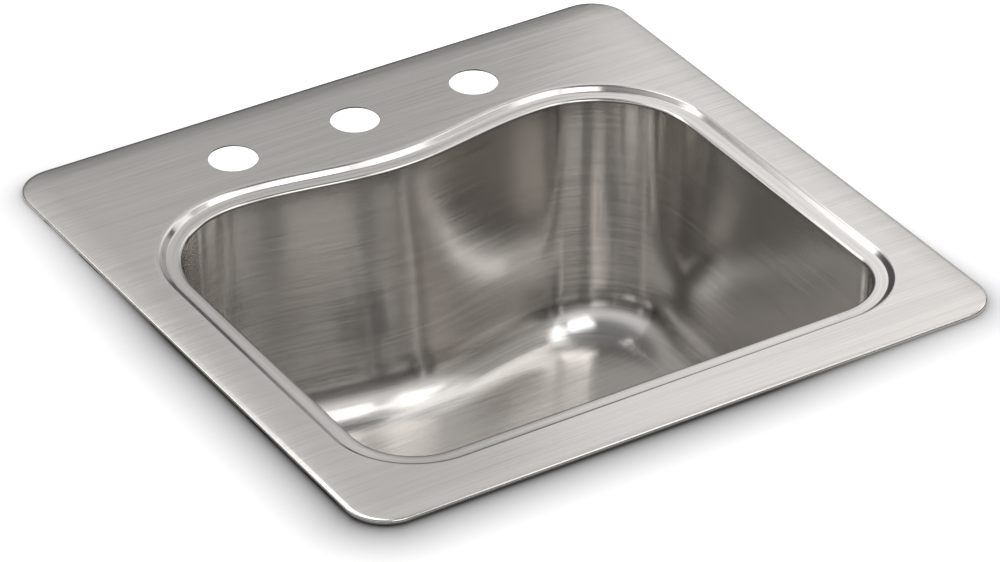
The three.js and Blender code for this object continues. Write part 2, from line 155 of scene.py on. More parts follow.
def shell_rows():
    """The sheet's upper face, row by row from the rim's edge down to the drain opening.

    Also gives the rows where the step, the bowl's edge and the cove start.
    Rim: straight up, a quarter circle, then a band that rises to the deck as one minus a square.
    Deck: straight rows from the band to the step. Step: a convex and a concave arc of one radius.
    Bowl: edge arc, leaning wall, quarter-circle cove, straight floor, S-shaped drop to the seat.
    """
    rim_r, rim_bend_z = 1.7 * mm, 1.75 * mm
    turn_x, turn_z = arc((rim_r, rim_bend_z), rim_r, 180, 100, 6, last=True)
    rise = np.linspace(0.12, 1, 7)
    band_z = turn_z[-1] + (deck_z - turn_z[-1]) * (1 - (1 - rise) ** 2)
    rim = [
        ring(rim_outline([0, 0]), [0, 1 * mm]),
        ring(rim_outline(turn_x), turn_z),
        ring(rim_outline(turn_x[-1] + (band_width - turn_x[-1]) * rise), band_z),
    ]
    top_r = 3.4 * mm
    low_r = 1.2 * mm
    top_e, top_z = arc((step_out, deck_z - top_r), top_r, 90, 142, 8, last=True)
    low_e, low_z = arc((step_in, ledge_z + low_r), low_r, -38, -90, 6, last=True)
    edge_e, edge_z = arc((edge_r, wall_top_z), edge_r, 90, 178, 9, last=True)
    step = [
        ring(bowl_outline(top_e), top_z),
        ring(bowl_outline(low_e), low_z),
        ring(bowl_outline([ledge_middle]), [ledge_z]),
        ring(bowl_outline(edge_e), edge_z),
    ]
    deck = between(rim[-1][-1:], step[0][:1], np.linspace(0, 1, 37)[1:-1])
    fall = np.linspace(0, 1, 13)[1:]
    wall = ring(bowl_outline(-wall_draft * fall), edge_z[-1] + (wall_foot_z - edge_z[-1]) * fall)
    turn = np.radians(np.linspace(0, 90, 15)[1:])
    bend = ring(bowl_outline(-wall_draft - cove * (1 - np.cos(turn))),
                wall_foot_z - cove * np.sin(turn))
    drop = np.linspace(0, 1, 7)
    seat = [
        ring(drain_outline(seat_r + seat_depth * (1 - drop)),
             seat_z + seat_depth * (0.5 + 0.5 * np.cos(np.pi * drop))),
        ring(drain_outline([seat_middle_r, drain_r]), seat_z),
    ]
    floor = between(bend[-1:], seat[0][:1], np.linspace(0, 1, 12)[1:-1])
    step_row = sum(len(part) for part in [*rim, deck])
    edge_row = step_row + sum(len(part) for part in step[:-1])
    cove_row = edge_row + len(step[-1]) + len(wall)
    return np.concatenate([*rim, deck, *step, wall, bend, floor, *seat]), step_row, edge_row, cove_row


def punch(flat, cells, where, centre, radius):
    """Cuts a round hole in a grid, in the plane of its two flat coordinates.

    An edge that crosses the circle has its nearer end moved on to the circle, along the line
    from the centre. Cells lose their corners inside the circle.
    """
    away = flat - np.asarray(centre)
    distance = np.linalg.norm(away, axis=1)
    inside = where & (distance < radius)
    ends = cells[:, [0, 1, 1, 2, 2, 3, 3, 0]].reshape(-1, 2)
    crossing = ends[inside[ends[:, 0]] != inside[ends[:, 1]]]
    gap = np.abs(distance[crossing] - radius)
    moved = np.unique(np.where(gap[:, 0] <= gap[:, 1], crossing[:, 0], crossing[:, 1]))
    flat[moved] = np.asarray(centre) + away[moved] * (radius / distance[moved])[:, None]
    inside[moved] = False
    on_circle = np.isin(np.arange(len(flat)), moved)[cells]
    corner_in = inside[cells]
    whole = ~corner_in.any(axis=1) & ~on_circle.all(axis=1)
    cut_once = (corner_in.sum(axis=1) == 1) & (on_circle.sum(axis=1) < 3)
    triangles = cells[cut_once][~corner_in[cut_once]].reshape(-1, 3)
    return cells[whole], triangles


def surface(name, points, faces):
    """A smooth mesh object from an array of points and a list of arrays of faces."""
    mesh = bpy.data.meshes.new(name)
    mesh.from_pydata(points.tolist(), [], [face for group in faces for face in group.tolist()])
    mesh.update()
    piece = bpy.data.objects.new(name, mesh)
    bpy.context.scene.collection.objects.link(piece)
    mesh.polygons.foreach_set("use_smooth", np.ones(len(mesh.polygons), bool))
    return piece


def grid_cells(rows, columns, closed=True, looped=False):
    """Corner numbers of a grid's cells. Closed: its last column joins its first. Looped: rows do."""
    row, column = np.meshgrid(np.arange(rows - (not looped)), np.arange(columns - (not closed)),
                              indexing="ij")
    next_row, next_column = (row + 1) % rows, (column + 1) % columns
    corners = [row * columns + column, row * columns + next_column,
               next_row * columns + next_column, next_row * columns + column]
    return np.stack(corners, axis=-1).reshape(-1, 4)


def drop_unused(points, faces):
    """Leaves out the points that no face uses. Also gives the numbers of those that stay."""
    used = np.unique(np.concatenate([group.ravel() for group in faces]))
    number = np.full(len(points), -1)
    number[used] = np.arange(len(used))
    return points[used], [number[group] for group in faces], used


def grain_map(piece, along, across):
    """A UV map in metres: u runs with the brushing and v across it, for each point."""
    mesh = piece.data
    corner = np.zeros(len(mesh.loops), int)
    mesh.loops.foreach_get("vertex_index", corner)
    layer = mesh.uv_layers.new(name="grain")
    layer.data.foreach_set("uv", np.stack([along[corner], across[corner]], axis=1).ravel())


def node_of(tree, kind, inputs=None, **settings):
    """A shader node with its settings, its inputs set to values or joined to sockets."""
    node = tree.nodes.new(kind)
    for key, value in settings.items():
        setattr(node, key, value)
    for key, value in (inputs or {}).items():
        if isinstance(value, bpy.types.NodeSocket):
            tree.links.new(value, node.inputs[key])
        else:
            node.inputs[key].default_value = value
    return node


def blank_material(name):
    """A material with one Principled shader, and its node tree."""
    material = bpy.data.materials.new(name)
    material.use_nodes = True
    return material, material.node_tree, material.node_tree.nodes["Principled BSDF"]


def math_node(tree, operation, first, second=0.5, third=0.5):
    """The output of one Math node."""
    inputs = {0: first, 1: second, 2: third}
    return node_of(tree, "ShaderNodeMath", inputs, operation=operation).outputs[0]


def remap(tree, value, low, high):
    """Takes 0 to 1 on to the range from low to high."""
    return math_node(tree, "MULTIPLY_ADD", value, high - low, low)


def brushed_steel():
    """Steel brushed with an abrasive belt: fine scratches, finer ones, and faint broad streaks.

    Each is noise, stretched to so many waves in a metre along the brushing and across it.
    """
    material, tree, shader = blank_material("brushed steel")
    uv = node_of(tree, "ShaderNodeUVMap", uv_map="grain").outputs[0]
    layers = []
    for along, across, detail in ((9.0, 620.0, 3.0), (32.0, 2000.0, 2.0), (3.0, 110.0, 2.0)):
        stretched = node_of(tree, "ShaderNodeVectorMath", {0: uv, 1: (along, across, 1.0)},
                            operation="MULTIPLY").outputs[0]
        layers.append(node_of(tree, "ShaderNodeTexNoise",
                              {"Vector": stretched, "Scale": 1.0, "Detail": detail, "Roughness": 0.6},
                              noise_dimensions="2D").outputs[0])
    fine, finer, streak = layers
    place = node_of(tree, "ShaderNodeTexCoord").outputs["Object"]
    cloud = node_of(tree, "ShaderNodeTexNoise", {"Vector": place, "Scale": 9.0, "Detail": 2.0}).outputs[0]
    scratch = math_node(tree, "ADD", math_node(tree, "MULTIPLY", fine, 0.6),
                        math_node(tree, "MULTIPLY", finer, 0.4))
    tone = math_node(tree, "ADD", math_node(tree, "MULTIPLY", scratch, 0.75),
                     math_node(tree, "MULTIPLY", streak, 0.25))
    contrast = math_node(tree, "MULTIPLY_ADD", tone, 2.0, -0.5)
    dark = (0.52, 0.503, 0.483, 1)
    light = (0.70, 0.678, 0.655, 1)
    colour = node_of(tree, "ShaderNodeMix", {0: contrast, 6: dark, 7: light}, data_type="RGBA")
    tree.links.new(colour.outputs[2], shader.inputs["Base Color"])
    rough = math_node(tree, "ADD", remap(tree, scratch, 0.08, 0.20), remap(tree, cloud, 0.02, 0.04))
    tree.links.new(rough, shader.inputs["Roughness"])
    bump = node_of(tree, "ShaderNodeBump", {"Height": scratch, "Strength": 0.2, "Distance": 0.0001})
    tree.links.new(bump.outputs[0], shader.inputs["Normal"])
    tangent = node_of(tree, "ShaderNodeTangent", direction_type="UV_MAP", uv_map="grain")
    tree.links.new(tangent.outputs[0], shader.inputs["Tangent"])
    shader.inputs["Metallic"].default_value = 1.0
    shader.inputs["Anisotropic"].default_value = 0.88
    shader.inputs["Anisotropic Rotation"].default_value = 0.25
    return material


rows, step_row, edge_row, cove_row = shell_rows()
shell_points = rows.reshape(-1, 3)
on_deck = np.abs(shell_points[:, 2] - deck_z) < 0.01 * mm
shell_cells = grid_cells(*rows.shape[:2])
shell_triangles = []
for hole in (-1, 0, 1):
    hole_centre = (hole * tap_pitch, tap_y)
    shell_cells, triangles = punch(shell_points[:, :2], shell_cells, on_deck, hole_centre, tap_r)
    shell_triangles.append(triangles)
shell_points, shell_faces, kept = drop_unused(shell_points, [shell_cells, *shell_triangles])
sink = surface("sink", shell_points, shell_faces)


def soften_edges(piece, width):
    """Takes the sharpness off the edges of cut sheet."""
    bevel = piece.modifiers.new("softened edges", "BEVEL")
    bevel.width = width
    bevel.segments = 2
    bevel.limit_method = "ANGLE"
    bevel.angle_limit = np.radians(60)
    bevel.harden_normals = True


def shell_grain():
    """The brushing's own coordinates, point by point.

    Deck and floor: x along and y across. From the step down through the first nine rows of the
    cove: the distance round the bowl along, and the distance down the section across.
    """
    edge = rows[edge_row]
    around = np.cumsum(np.linalg.norm(np.roll(edge, -1, axis=0) - edge, axis=1))[None, :]
    down = np.cumsum(np.linalg.norm(np.diff(rows, axis=0, prepend=rows[:1]), axis=2).mean(axis=1))
    row = np.arange(len(rows))[:, None]
    wall = (row >= step_row) & (row < cove_row + 9)
    along = np.where(wall, around, rows[:, :, 0]).reshape(-1)[kept]
    across = np.where(wall, down[:, None], rows[:, :, 1]).reshape(-1)[kept]
    return along, across


grain_map(sink, *shell_grain())
sink.data.materials.append(brushed_steel())
thickness = sink.modifiers.new("sheet thickness", "SOLIDIFY")
thickness.thickness = sheet
thickness.offset = -1
thickness.use_even_offset = True
soften_edges(sink, 0.15 * mm)
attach(sink, "sink")
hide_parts("sink_shell")

# ---------------------------------------------------------------- sound pads
# Six sheets of black butyl rubber with a fine pressed grain, glued to the outside of the bowl to
# deaden the noise of running water: one on each wall and two under the floor.


def matt_surface(name, colour, scale, depth):
    """Rubber, fibre or nylon: a fine speckle of dust, and a pressed or moulded grain."""
    material, tree, shader = blank_material(name)
    place = node_of(tree, "ShaderNodeTexCoord").outputs["Object"]
    speckle = node_of(tree, "ShaderNodeTexNoise",
                      {"Vector": place, "Scale": 160.0, "Detail": 4.0}).outputs[0]
    grain = node_of(tree, "ShaderNodeTexVoronoi", {"Vector": place, "Scale": scale}).outputs[0]
    tone = node_of(tree, "ShaderNodeValToRGB", {0: speckle})
    tone.color_ramp.elements[0].position = 0.35
    tone.color_ramp.elements[1].position = 0.75
    tone.color_ramp.elements[0].color = (*(0.7 * np.array(colour)), 1)
    tone.color_ramp.elements[1].color = (*(1.5 * np.array(colour)), 1)
    tree.links.new(tone.outputs[0], shader.inputs["Base Color"])
    tree.links.new(remap(tree, speckle, 0.6, 0.95), shader.inputs["Roughness"])
    bump = node_of(tree, "ShaderNodeBump", {"Height": grain, "Strength": 0.5, "Distance": depth})
    tree.links.new(bump.outputs[0], shader.inputs["Normal"])
    return material


pad_rubber = matt_surface("butyl pad", (0.028, 0.028, 0.027), 420.0, 0.4 * mm)
pad_thick = 3 * mm
wall_gap = 0.3 * mm
floor_gap = 0.9 * mm


def pad_points(sheet_rows, first, last, gap):
    """A pad's inner face: a stretch of the bowl's own rows, lifted off the back of the sheet.

    Two shares run from -1 to 1 across it. Each is drawn in by a little of the other's 16th power,
    which rounds the corners. The place between rows and columns is their weighted mean.
    """
    down, along = np.meshgrid(np.linspace(-1, 1, 31), np.linspace(-1, 1, 61), indexing="ij")
    row = (len(sheet_rows) - 1) * (1 + down * (1 - 0.05 * along ** 16)) / 2
    column = first + (last - first) * (1 + along * (1 - 0.03 * down ** 16)) / 2
    row_before = np.minimum(row.astype(int), len(sheet_rows) - 2)
    column_before = column.astype(int)
    row_share = (row - row_before)[..., None]
    column_share = (column - column_before)[..., None]
    before = column_before % sheet_rows.shape[1]
    after = (column_before + 1) % sheet_rows.shape[1]

    def along_row(number):
        return sheet_rows[number, before] * (1 - column_share) + sheet_rows[number, after] * column_share

    points = along_row(row_before) * (1 - row_share) + along_row(row_before + 1) * row_share
    normal = np.cross(np.gradient(points, axis=1), np.gradient(points, axis=0))
    return points - normal / np.linalg.norm(normal, axis=2)[..., None] * (sheet + gap)


pad_heights = np.linspace(0.2, 0.85, 9)
wall_rows = ring(bowl_outline(-wall_draft * pad_heights),
                 wall_top_z + (wall_foot_z - wall_top_z) * pad_heights)
floor_edge = ring(bowl_outline([-wall_draft - cove]), wall_foot_z - cove)
seat_edge = ring(drain_outline([seat_r + seat_depth]), seat_z + seat_depth)
floor_rows = between(floor_edge, seat_edge, np.linspace(0.15, 0.8, 9))
right_start = corner_steps
back_start = right_start + side_steps + corner_steps
left_start = back_start + back_steps + corner_steps
front_start = left_start + side_steps + corner_steps
pads = {
    "right_wall": (wall_rows, right_start, right_start + side_steps, wall_gap),
    "back_wall": (wall_rows, back_start + back_steps / 9, back_start + back_steps * 8 / 9, wall_gap),
    "left_wall": (wall_rows, left_start, left_start + side_steps, wall_gap),
    "front_wall": (wall_rows, front_start, front_start + front_steps, wall_gap),
    "floor_right": (floor_rows, right_start, right_start + side_steps, floor_gap),
    "floor_left": (floor_rows, left_start, left_start + side_steps, floor_gap),
}
for place, patch in pads.items():
    points = pad_points(*patch)
    pad_cells = grid_cells(*points.shape[:2], closed=False)
    pad = surface(f"sound_pad_{place}", points.reshape(-1, 3), [pad_cells])
    body = pad.modifiers.new("pad thickness", "SOLIDIFY")
    body.thickness = pad_thick
    body.offset = -1
    soften_edges(pad, 0.7 * mm)
    pad.data.materials.append(pad_rubber)
    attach(pad, "sink")
    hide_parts(f"pad_{place}")

# ---------------------------------------------------------------- mounting rails
# Four channels, rolled from 1 mm strip with their lips turned in, and spot welded under the deck
# with their mouths down. The clips' heads slide in them.

sides = {"back": (0, "left", "right"), "left": (90, "front", "back"),
         "front": (180, "right", "left"), "right": (270, "back", "front")}
rail_wall = 1 * mm
rail_line = 235 * mm
rail_half = 7 * mm
rail_mouth_half = 3.2 * mm


def turned_to(points, degrees):
    """Points turned about the sink's upright axis, from the back side to another side."""
    angle = np.radians(degrees)
    turn = np.array([[np.cos(angle), np.sin(angle), 0], [-np.sin(angle), np.cos(angle), 0], [0, 0, 1]])
    return np.round(points @ turn, 9)


def bent(corners, radius, steps=5, closed=False):
    """A line of straight runs joined by round bends, open or closed.

    At each corner the line leaves a run `radius` short of the corner and follows a parabola,
    the corner being its control point, on to the next run. Each corner may have its own radius.
    """
    corners = np.asarray(corners, float)
    if closed:
        corners = np.concatenate([corners[-1:], corners, corners[:1]])
    before, at, after = corners[:-2], corners[1:-1], corners[2:]

    def short_of(to):
        run = to - at
        return (at + run * (radius / np.linalg.norm(run, axis=1))[:, None])[:, None]

    share = np.linspace(0, 1, steps)[None, :, None]
    bends = (short_of(before) * (1 - share) ** 2 + 2 * at[:, None] * share * (1 - share)
             + short_of(after) * share ** 2).reshape(-1, 2)
    return bends if closed else np.concatenate([corners[:1], bends, corners[-1:]])


def strip_rows(line, along):
    """A strip of sheet: the line in [across, height] is carried along X. Rows follow the line."""
    rows = np.empty((len(line), len(along), 3))
    rows[:, :, 0] = along
    rows[:, :, 1:] = line[:, None, :]
    return rows


def worn_metal(name, low, high, rough_low, rough_high, scale=90.0):
    """Metal whose tone and roughness drift a little, with fine scuffs over it."""
    material, tree, shader = blank_material(name)
    place = node_of(tree, "ShaderNodeTexCoord").outputs["Object"]
    drift = node_of(tree, "ShaderNodeTexNoise",
                    {"Vector": place, "Scale": scale, "Detail": 5.0}).outputs[0]
    scuff = node_of(tree, "ShaderNodeTexNoise",
                    {"Vector": place, "Scale": 14 * scale, "Detail": 2.0}).outputs[0]
    colour = node_of(tree, "ShaderNodeValToRGB", {0: drift})
    colour.color_ramp.elements[0].position = 0.3
    colour.color_ramp.elements[1].position = 0.7
    colour.color_ramp.elements[0].color = (*low, 1)
    colour.color_ramp.elements[1].color = (*high, 1)
    tree.links.new(colour.outputs[0], shader.inputs["Base Color"])
    tree.links.new(remap(tree, drift, rough_low, rough_high), shader.inputs["Roughness"])
    bump = node_of(tree, "ShaderNodeBump", {"Height": scuff, "Strength": 0.15, "Distance": 0.05 * mm})
    tree.links.new(bump.outputs[0], shader.inputs["Normal"])
    shader.inputs["Metallic"].default_value = 1.0
    return material


def sheet_piece(name, points, faces, thickness):
    """A piece of bent sheet: the surface, given its thickness to both sides, with softened edges."""
    piece = surface(name, points, faces)
    solid = piece.modifiers.new("sheet thickness", "SOLIDIFY")
    solid.thickness = thickness
    solid.offset = 0
    solid.use_even_offset = True
    soften_edges(piece, 0.12 * mm)
    return piece


rail_steel = worn_metal("rail steel", (0.36, 0.36, 0.35), (0.52, 0.51, 0.50), 0.28, 0.46)
for side, (degrees, _, _) in sides.items():
    low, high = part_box(f"{side}_rail")
    rail_end = max(high[0] - low[0], high[1] - low[1]) / 2
    half, top, bottom = rail_half - rail_wall / 2, high[2] - rail_wall / 2, low[2] + rail_wall / 2
    line = bent([(rail_mouth_half, bottom), (half, bottom), (half, top),
                 (-half, top), (-half, bottom), (-rail_mouth_half, bottom)], 1.2 * mm)
    rail_rows = strip_rows(line + (rail_line, 0), np.linspace(-rail_end, rail_end, 60))
    rail = sheet_piece(f"{side}_channel", turned_to(rail_rows.reshape(-1, 3), degrees),
                       [grid_cells(*rail_rows.shape[:2], closed=False)], rail_wall)
    rail.data.materials.append(rail_steel)
    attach(rail, "sink")
    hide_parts(f"{side}_rail")

# ---------------------------------------------------------------- clip brackets
# Eight hooks of 1.8 mm zinc-plated strip, two to a rail. A T-shaped slider hangs each one in its
# rail; its blade stands down beside the bowl and turns out into a foot with a hole for the screw.

screw_low, screw_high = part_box("back_right_screw")
clip_at, clip_line = (np.array(screw_low) + np.array(screw_high))[:2] / 2
clip_half = 7 * mm
bracket_sheet = 1.8 * mm
screw_hole_r = 3.4 * mm


def divided(line, longest, closed=False):
    """A line with each of its straight runs cut into equal steps no longer than `longest`."""
    starts = line if closed else line[:-1]
    runs = (np.roll(line, -1, axis=0) if closed else line[1:]) - starts
    count = np.ceil(np.linalg.norm(runs, axis=1) / longest - 1e-6).astype(int)
    run = np.repeat(np.arange(len(count)), count)
    step = np.arange(count.sum()) - np.repeat(np.cumsum(count) - count, count)
    points = starts[run] + runs[run] * (step / count[run])[:, None]
    return points if closed else np.concatenate([points, line[-1:]])


def lofted(name, sections, looped=False):
    """A closed skin over sections of one size, each anticlockwise seen from the last one.

    Its two ends are capped, or where it is looped, its last section joins its first.
    """
    count, around = sections.shape[:2]
    faces = [grid_cells(count, around, looped=looped)]
    if not looped:
        end = np.arange(around)[None]
        faces += [end[:, ::-1], end + (count - 1) * around]
    piece = surface(name, sections.reshape(-1, 3), faces)
    piece.data.set_sharp_from_angle(angle=np.radians(38))
    return piece


def carried(profile, along):
    """Sections for a bar: the closed profile in [across, height] is carried along X."""
    sections = np.empty((len(along), len(profile), 3))
    sections[:, :, 0] = np.asarray(along)[:, None]
    sections[:, :, 1:] = profile
    return sections


zinc = worn_metal("zinc plate", (0.40, 0.42, 0.46), (0.58, 0.60, 0.62), 0.26, 0.44, scale=240.0)
clips = [(f"{side}_{place}", degrees, np.array([at, clip_line, 0]))
         for side, (degrees, low_end, high_end) in sides.items()
         for place, at in ((low_end, -clip_at), (high_end, clip_at))]

head_half, neck_half = 5.4 * mm, 2.6 * mm
head_bottom, head_top = -5.1 * mm, -3.1 * mm
shoulder_z = -9.6 * mm
shoulder_line = shoulder_z + bracket_sheet / 2
blade_line = -8 * mm + bracket_sheet / 2
foot_line = -47 * mm + bracket_sheet / 2
foot_end = 8.1 * mm
bracket_bend = bent([(neck_half, shoulder_line), (blade_line, shoulder_line),
                     (blade_line, foot_line), (foot_end, foot_line)], 2 * mm)
bracket_rows = strip_rows(divided(bracket_bend, 0.6 * mm), np.linspace(-clip_half, clip_half, 29))
bracket_points = bracket_rows.reshape(-1, 3)
bracket_cells = grid_cells(*bracket_rows.shape[:2], closed=False)
on_foot = bracket_points[:, 2] < foot_line + 0.01 * mm
bracket_faces = punch(bracket_points[:, :2], bracket_cells, on_foot, (0, 0), screw_hole_r)
bracket_points, bracket_faces, _ = drop_unused(bracket_points, bracket_faces)
slider_profile = bent([(neck_half, head_bottom), (head_half, head_bottom), (head_half, head_top),
                       (-head_half, head_top), (-head_half, head_bottom), (-neck_half, head_bottom),
                       (-neck_half, shoulder_z + bracket_sheet), (neck_half, shoulder_z + bracket_sheet)],
                      0.35 * mm, closed=True)
slider_sections = carried(slider_profile, np.linspace(-clip_half, clip_half, 5))
for clip, degrees, place in clips:
    bracket = sheet_piece(f"{clip}_bracket", turned_to(bracket_points + place, degrees),
                          bracket_faces, bracket_sheet)
    slider = lofted(f"{clip}_slider", turned_to(slider_sections + place, degrees))
    soften_edges(slider, 0.2 * mm)
    for part in (bracket, slider):
        part.data.materials.append(zinc)
        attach(part, f"{clip}_clip")
    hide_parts(f"{clip}_clip")

# ---------------------------------------------------------------- clip jaws
# A 2 mm zinc-plated jaw sits on each screw's tip and slides on the blade. Its outer end turns up
# into a row of teeth that bite the worktop from below; a dimple keeps the screw's tip in the middle.

jaw_sheet = 2 * mm
jaw_back, jaw_front = -5.9 * mm, 17.5 * mm - jaw_sheet / 2
jaw_z, jaw_top = -32 * mm, -28 * mm
tooth_pitch, tooth_depth = 2.8 * mm, 1.3 * mm
dimple_r, dimple_depth = 2.6 * mm, 0.5 * mm
jaw_bend = bent([(jaw_back, jaw_z), (jaw_front, jaw_z), (jaw_front, jaw_top)], 1.6 * mm)
jaw_rows = strip_rows(divided(jaw_bend, 0.7 * mm), np.linspace(-clip_half, clip_half, 41))
jaw_x, jaw_v = jaw_rows[:, :, 0], jaw_rows[:, :, 1]
saw = 2 * np.abs(jaw_x / tooth_pitch % 1 - 0.5)
jaw_rows[:, :, 2] -= tooth_depth * saw * np.clip((jaw_rows[:, :, 2] - jaw_z) / (jaw_top - jaw_z), 0, 1) ** 3
jaw_rows[:, :, 2] += dimple_depth * np.exp(-(jaw_x ** 2 + jaw_v ** 2) / dimple_r ** 2)
for clip, degrees, place in clips:
    jaw = sheet_piece(f"{clip}_jaw", turned_to(jaw_rows.reshape(-1, 3) + place, degrees),
                      [grid_cells(*jaw_rows.shape[:2], closed=False)], jaw_sheet)
    jaw.data.materials.append(zinc)
    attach(jaw, f"{clip}_cleat")
    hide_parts(f"{clip}_cleat")

# ---------------------------------------------------------------- clip screws
# Quarter-inch screws, 20 threads to the inch, zinc plated. Each is driven up through its bracket's
# foot from below, by its hexagon head or the slot across it.

thread_r, thread_pitch, thread_depth = 3.1 * mm, 1.27 * mm, 0.62 * mm
shank_sides = 24
point_length = 1.2 * mm
shank_top, head_face, head_end = screw_high[2], -66 * mm, screw_low[2]
head_r = 6 * mm
head_flat_r = head_r * np.cos(np.pi / 6)
head_chamfer_r = 5.1 * mm
slot_half, slot_depth = 0.7 * mm, 1.4 * mm


def polar(radius, height, sides):
    """Sections round the upright axis, from radii and heights given for each section or point."""
    angle = 2 * np.pi * np.arange(sides) / sides
    radius, height, angle = np.broadcast_arrays(radius, height, angle)
    return np.stack([radius * np.cos(angle), radius * np.sin(angle), height], axis=2)


def thread(height, sides, pitch, depth):
    """How far a thread is cut in: a triangle wave that climbs one pitch in each turn."""
    turn = np.arange(sides) / sides
    return depth * 2 * np.abs((height / pitch - turn) % 1 - 0.5)


shank_z = np.arange(head_face - 0.5 * mm, shank_top, thread_pitch / 8)[:, None]
groove = thread(shank_z, shank_sides, thread_pitch, thread_depth)
point = np.clip(shank_z - shank_top + point_length, 0, None)
shank_sections = polar(thread_r - np.maximum(groove, point), np.minimum(shank_z, shank_top), shank_sides)


def hexagon_head():
    """Sections across the head, from one corner of the hexagon to the opposite one.

    Each is a flat bar from the head's upper face down to its lower face, as wide as the hexagon is
    there. The lower face rises beyond the chamfer's radius, and in the slot by the slot's depth.
    """
    one_side = np.concatenate([np.array([5.95, 5.2, 4.4, 3.6, 3, 1.8]) * mm, [slot_half, slot_half]])
    across = np.concatenate([-one_side, one_side[::-1]])[:, None]
    in_slot = np.repeat([0, 1, 0], [7, 2, 7])[:, None]
    hexagon_half = np.minimum((head_r - np.abs(across)) * np.sqrt(3), head_flat_r)
    x = hexagon_half * np.linspace(-1, 1, 11)
    beyond = np.clip(np.hypot(x, across) - head_chamfer_r, 0, None)
    lower = head_end + 0.6 * beyond + in_slot * slot_depth
    x_round = np.concatenate([x, x[:, ::-1]], axis=1)
    z_round = np.concatenate([0 * x + head_face, lower[:, ::-1]], axis=1)
    return np.stack([x_round, across + 0 * x_round, z_round], axis=2)


head_sections = hexagon_head()
for clip, degrees, place in clips:
    screw = lofted(f"{clip}_screw_shank", turned_to(shank_sections + place, degrees))
    head = lofted(f"{clip}_screw_head", turned_to(head_sections + place, degrees))
    for part in (screw, head):
        part.data.materials.append(zinc)
        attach(part, f"{clip}_screw")
    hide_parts(f"{clip}_screw")

# ---------------------------------------------------------------- strainer body
# The drain's cup, drawn and spun from stainless steel and polished. Its flange beds on the seat
# in the floor, its outer thread takes the locknut, and its outlet's thread the coupling nut.

drain_centre = np.array([0, drain_y, 0])
flange_z = seat_z + 0.3 * mm
flange_r, flange_top = 57 * mm, flange_z + 2.4 * mm
cup_r, cup_inner, cup_floor = 42.6 * mm, 40.2 * mm, flange_z - 46 * mm
outlet_r, outlet_inner, outlet_end = 23.5 * mm, 20.2 * mm, flange_z - 76 * mm
outlet_top = cup_floor - 2 * mm
cup_sides = 72
polished = worn_metal("polished steel", (0.52, 0.515, 0.505), (0.66, 0.655, 0.64), 0.07, 0.16, scale=50.0)


def turned_piece(name, radius, height, sides, looped=True):
    """A turned piece round the drain's axis, from the radius and height of each profile point."""
    return lofted(name, polar(radius, height, sides) + drain_centre, looped)


def fit(piece, body, node, material):
    """Gives a piece its material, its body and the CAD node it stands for."""
    piece.data.materials.append(material)
    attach(piece, body)
    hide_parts(node)


def profile_of(corners, radius, longest=None, closed=True):
    """A profile's radii and heights, each as a column: rounded corners, and steps between them."""
    line = bent(corners, radius, closed=closed)
    if longest:
        line = divided(line, longest, closed)
    return line[:, :1], line[:, 1:]


def on_stretch(radius, height, at, low, high):
    """Whether a profile's points lie at one radius, between two heights."""
    return (np.abs(radius - at) < 0.1 * mm) & (height > low) & (height < high)


radius, height = profile_of([
    (cup_r, flange_z), (flange_r, flange_z), (flange_r, flange_z + 1 * mm), (54 * mm, flange_top),
    (44.6 * mm, flange_top), (cup_inner, flange_z - 1 * mm), (cup_inner, cup_floor),
    (outlet_inner, cup_floor), (outlet_inner, outlet_end), (outlet_r, outlet_end),
    (outlet_r, outlet_top), (cup_r, outlet_top)], 0.45 * mm, 0.4 * mm)
on_cup = on_stretch(radius, height, cup_r, cup_floor + 9 * mm, flange_z - 5 * mm)
on_outlet = on_stretch(radius, height, outlet_r, outlet_end + 1 * mm, cup_floor - 8 * mm)
radius = (radius - on_cup * thread(height, cup_sides, 2.4 * mm, 0.8 * mm)
          - on_outlet * thread(height, cup_sides, 2 * mm, 0.6 * mm))
strainer = turned_piece("strainer_cup", radius, height, cup_sides)
fit(strainer, "sink", "strainer_body", polished)

# ---------------------------------------------------------------- drain washers
# Under the bowl a thick black rubber washer seals against the sheet, and a fibre ring below it
# lets the nut turn without dragging the rubber. A white nylon washer seals the tailpiece.

round_cup, round_tube = 43 * mm, 19.5 * mm


def ring_profile(inner, outer, bottom, top, edge):
    """A flat ring's profile: a rectangle with its edges rounded."""
    return profile_of([(inner, bottom), (outer, bottom), (outer, top), (inner, top)], edge)


black_rubber = matt_surface("black rubber", (0.022, 0.022, 0.022), 900.0, 0.1 * mm)
fibre = matt_surface("pressed fibre", (0.30, 0.235, 0.145), 1500.0, 0.15 * mm)
nylon = matt_surface("white nylon", (0.62, 0.61, 0.56), 600.0, 0.05 * mm)
for name, slot_name, material in (("sealing_washer", "black_rubber", black_rubber),
                                  ("friction_ring", "fibre", fibre),
                                  ("tailpiece_washer", "white_nylon", nylon)):
    low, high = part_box(name)
    outer = (high[0] - low[0]) / 2
    inner = round_cup if outer > cup_r else round_tube
    radius, height = ring_profile(inner, outer, low[2], high[2], 0.45 * mm)
    fit(turned_piece(f"{name}_ring", radius, height, 96), "sink", name, material)

# ---------------------------------------------------------------- nuts
# Two brass nuts: the locknut that draws the strainer down, with eight lugs to tap or grip, and
# the coupling nut that holds the tailpiece to the outlet, with fluted sides for the hand.

